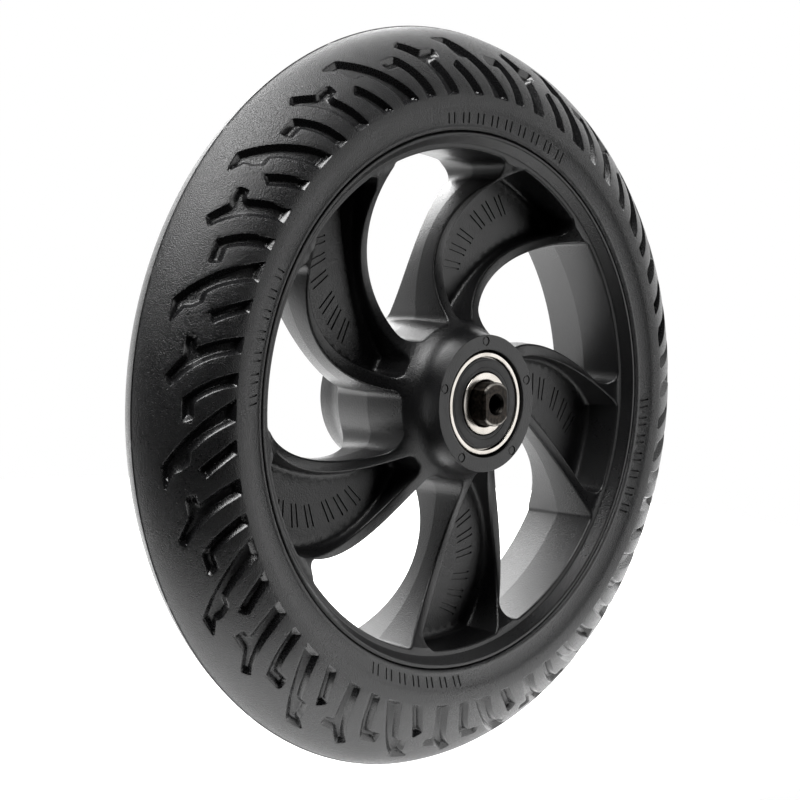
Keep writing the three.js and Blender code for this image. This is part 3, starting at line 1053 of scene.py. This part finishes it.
def seal_nitrile():
    """Dull nitrile of the bearing seals, a little dusty."""
    look = Look("seal_nitrile", (0.03, 0.03, 0.031), 0.55)
    dust = look.noise(900)
    share = look.remap(dust, 0.0, 1.0, 0.35, 0.8)
    colour = look.blend(share, (0.024, 0.024, 0.026), (0.05, 0.049, 0.047))
    rough = look.remap(dust, 0.46, 0.62)
    return look.into(Base_Color=colour, Roughness=rough, Normal=look.bump(look.noise(2500, 2.0), 0.03))


def oxidised_steel():
    """Blackened axle steel, mottled brown, worn brighter round its ends, with painted shade that makes
    its tapped holes black.
    """
    look = Look("oxidised_steel", (0.1, 0.09, 0.08), 0.42, 1.0)
    black = (0.012, 0.011, 0.01)
    mottle = look.noise(900, 5.0, 0.6)
    near_end = (axle_half - 0.5) * MM, axle_half * MM
    end = look.remap(look.maths("ABSOLUTE", look.along()), 0.0, 1.0, *near_end)
    edge = look.remap(look.radius(), 0.0, 1.0, 0.0050, 0.0055)
    wear = look.maths("MULTIPLY", look.maths("MULTIPLY", end, edge),
                      look.remap(mottle, 0.2, 1.0, 0.35, 0.6))
    oxide_and_hole_shade = look.blend(look.remap(mottle, 0.0, 1.0, 0.35, 0.7), black, (0.06, 0.05, 0.042))
    # Painted shade: inside the tapped holes the colour goes to flat black, where shade falls.
    hole_shade_fade = (hole_radius + 0.3) * MM, (hole_radius + 0.6) * MM
    oxide_and_hole_shade = look.blend(look.remap(look.radius(), 1.0, 0.0, *hole_shade_fade), oxide_and_hole_shade, black)
    colour = look.blend(wear, oxide_and_hole_shade, (0.4, 0.38, 0.35))
    rough = look.remap(mottle, 0.34, 0.55)
    return look.into(Base_Color=colour, Roughness=rough, Normal=look.bump(mottle, 0.03))


def turned_steel():
    """The sleeve's plain turned steel."""
    look = Look("turned_steel", (0.5, 0.48, 0.45), 0.35, 1.0)
    lines = look.lines(look.along(), 7000.0)
    rough = look.remap(lines, 0.28, 0.42)
    colour = look.blend(look.noise(200), (0.52, 0.5, 0.47), (0.44, 0.42, 0.39))
    return look.into(Base_Color=colour, Roughness=rough, Normal=look.bump(lines, 0.01))


def cage_plastic():
    """Pale moulded nylon of the ball cages."""
    look = Look("cage_plastic", (0.45, 0.4, 0.3), 0.45)
    flow = look.noise(400)
    colour = look.blend(flow, (0.5, 0.45, 0.34), (0.4, 0.35, 0.26))
    rough = look.remap(flow, 0.4, 0.52)
    return look.into(Base_Color=colour, Roughness=rough, Normal=look.bump(look.noise(3000, 2.0), 0.02))


def ball_steel():
    """Polished balls with a film of grease."""
    look = Look("ball_steel", (0.7, 0.69, 0.67), 0.12, 1.0)
    film = look.noise(600)
    colour = look.blend(film, (0.72, 0.71, 0.69), (0.6, 0.57, 0.5))
    return look.into(Base_Color=colour, Roughness=look.remap(film, 0.08, 0.22))


def give(nodes, material):
    """Puts a material on CAD nodes that no piece replaces."""
    for node in nodes:
        piece = bpy.data.objects[node]
        piece.data.materials.clear()
        piece.data.materials.append(material)


make_tyre(tyre_rubber())
make_rim(rim_nylon())
make_bearings(ground_steel(), seal_nitrile(), turned_steel())
make_axle(oxidised_steel())
give([f"{end}_cage" for end in ends], cage_plastic())
give([f"{end}_ball_{i + 1}" for end in ends for i in range(ball_count)], ball_steel())

# ---- Camera, lights, floor ----

# The camera stands where the tyre's outline, the hub and the axle's end match the photograph.
camera_azimuth, camera_elevation = math.radians(-44.60), math.radians(5.23)
camera_distance = 551.55
camera_right, camera_up = -7.0, -0.51
lens, sensor = 91.1, 36

# Soft boxes, by place and size in metres and watts: for the crown, the walls and the near side.
soft_boxes = {
    "overhead": ((-0.33, -0.1, 0.77), (0.6, 0.5), 13),
    "behind": ((0.25, 0.72, 0.62), (0.9, 0.6), 10),
    "beside": ((0.85, -0.62, -0.03), (0.95, 0.55), 3.0),
}

# The studio, in metres. The floor reaches back from under the wheel and glows, so it looks white
# and lights the wheel from behind and below.
floor_radius = 0.36
floor_x, floor_y = 0.08, 0.27
floor_drop = 0.0005  # below the tyre
floor_glow = 1.35
dome_radius = 5.0
world_bright_way = (0.45, 0.9, 0.0)
world_fade = {"From Min": -0.1, "From Max": 0.6, "To Min": 0.01, "To Max": 1.5}


def placed(name, data, place, facing):
    """A camera or lamp in its place, level and facing one way."""
    thing = bpy.data.objects.new(name, data)
    thing.location = place
    thing.rotation_mode = "QUATERNION"
    thing.rotation_quaternion = facing.to_track_quat("-Z", "Y")
    scene.collection.objects.link(thing)
    return thing


def make_camera():
    level = math.cos(camera_elevation)
    back = Vector((math.sin(camera_azimuth) * level, -math.cos(camera_azimuth) * level,
                   math.sin(camera_elevation)))
    right = Vector((math.cos(camera_azimuth), math.sin(camera_azimuth), 0))
    up = back.cross(right)
    data = bpy.data.cameras.new("camera")
    data.lens = lens
    data.sensor_width = sensor
    data.clip_start, data.clip_end = 0.01, 20
    place = (right * camera_right + up * camera_up + back * camera_distance) * MM
    scene.camera = placed("camera", data, place, -back)


def soft_box(name, place, size, watts):
    """A rectangular lamp that faces the wheel's middle."""
    data = bpy.data.lights.new(name, "AREA")
    data.shape = "RECTANGLE"
    data.size, data.size_y = size
    data.energy = watts
    placed(name, data, Vector(place), -Vector(place))


def make_floor():
    """A pale, round, glowing floor."""
    paper = Look("floor_paper", (0.6, 0.6, 0.6), 0.8)
    tint = paper.blend(paper.noise(3.0), (0.62, 0.62, 0.62), (0.6, 0.6, 0.6))
    paper.glow(floor_glow)
    work = bmesh.new()
    bmesh.ops.create_circle(work, cap_ends=True, radius=floor_radius, segments=96)
    bmesh.ops.translate(work, verts=work.verts, vec=(floor_x, floor_y, cad_low.z - floor_drop))
    finished("floor", work, paper.into(Base_Color=tint))


def make_dome():
    """White surroundings that only the camera sees: they don't light the wheel or mirror in it."""
    white = Look("dome_white", (0, 0, 0), 1.0)
    white.glow(1.0)
    work = bmesh.new()
    bmesh.ops.create_icosphere(work, subdivisions=4, radius=dome_radius)
    dome = finished("dome", work, white.material)
    dome.visible_shadow = dome.visible_glossy = dome.visible_diffuse = False


def make_world():
    """Light from all round that is bright behind and beside the wheel and nearly dark in front."""
    world = bpy.data.worlds.new("studio")
    world.use_nodes = True
    nodes, links = world.node_tree.nodes, world.node_tree.links
    away = nodes.new("ShaderNodeVectorMath")
    away.operation = "DOT_PRODUCT"
    links.new(nodes.new("ShaderNodeTexCoord").outputs["Generated"], away.inputs[0])
    away.inputs[1].default_value = world_bright_way
    fade = nodes.new("ShaderNodeMapRange")
    links.new(away.outputs["Value"], fade.inputs["Value"])
    for name, value in world_fade.items():
        fade.inputs[name].default_value = value
    links.new(fade.outputs["Result"], nodes["Background"].inputs["Strength"])
    nodes["Background"].inputs["Color"].default_value = (1, 1, 1, 1)
    scene.world = world


make_camera()
make_floor()
make_dome()
make_world()
for name, (place, size, watts) in soft_boxes.items():
    soft_box(name, place, size, watts)
scene.view_settings.view_transform = "Standard"
scene.view_settings.look = "None"
